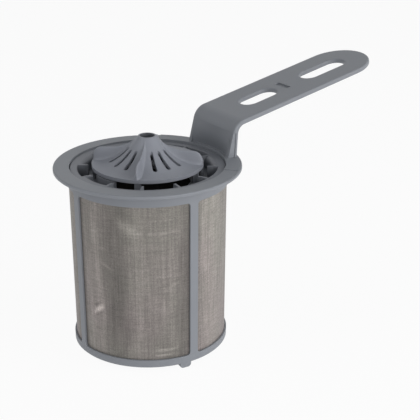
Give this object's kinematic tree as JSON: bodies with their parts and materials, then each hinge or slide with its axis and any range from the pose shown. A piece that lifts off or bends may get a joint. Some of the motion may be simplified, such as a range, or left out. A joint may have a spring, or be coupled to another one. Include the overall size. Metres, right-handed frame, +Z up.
{
  "type": "dishwasher filter",
  "caption": "Round dishwasher filter: ribbed cage with a woven steel sleeve, slotted dome over a coarse strainer, and a long slotted carrying handle.",
  "frame": {"origin": "on the axis of the round body, in the plane of the spigot's rim that the filter stands on", "axes": "+Z up along the body's axis, +X along the handle"},
  "size_m": [0.1783, 0.09, 0.1281],
  "materials": {
    "cage_plastic": "satin moulded",
    "steel_cloth": "fine woven cloth",
    "strainer_plastic": "satin moulded",
    "dome_plastic": "satin moulded"
  },
  "bodies": {
    "root": {"filter_cage": "cage_plastic", "mesh_sleeve": "steel_cloth", "coarse_strainer": "strainer_plastic", "dome_cap": "dome_plastic"}
  },
  "joints": []
}
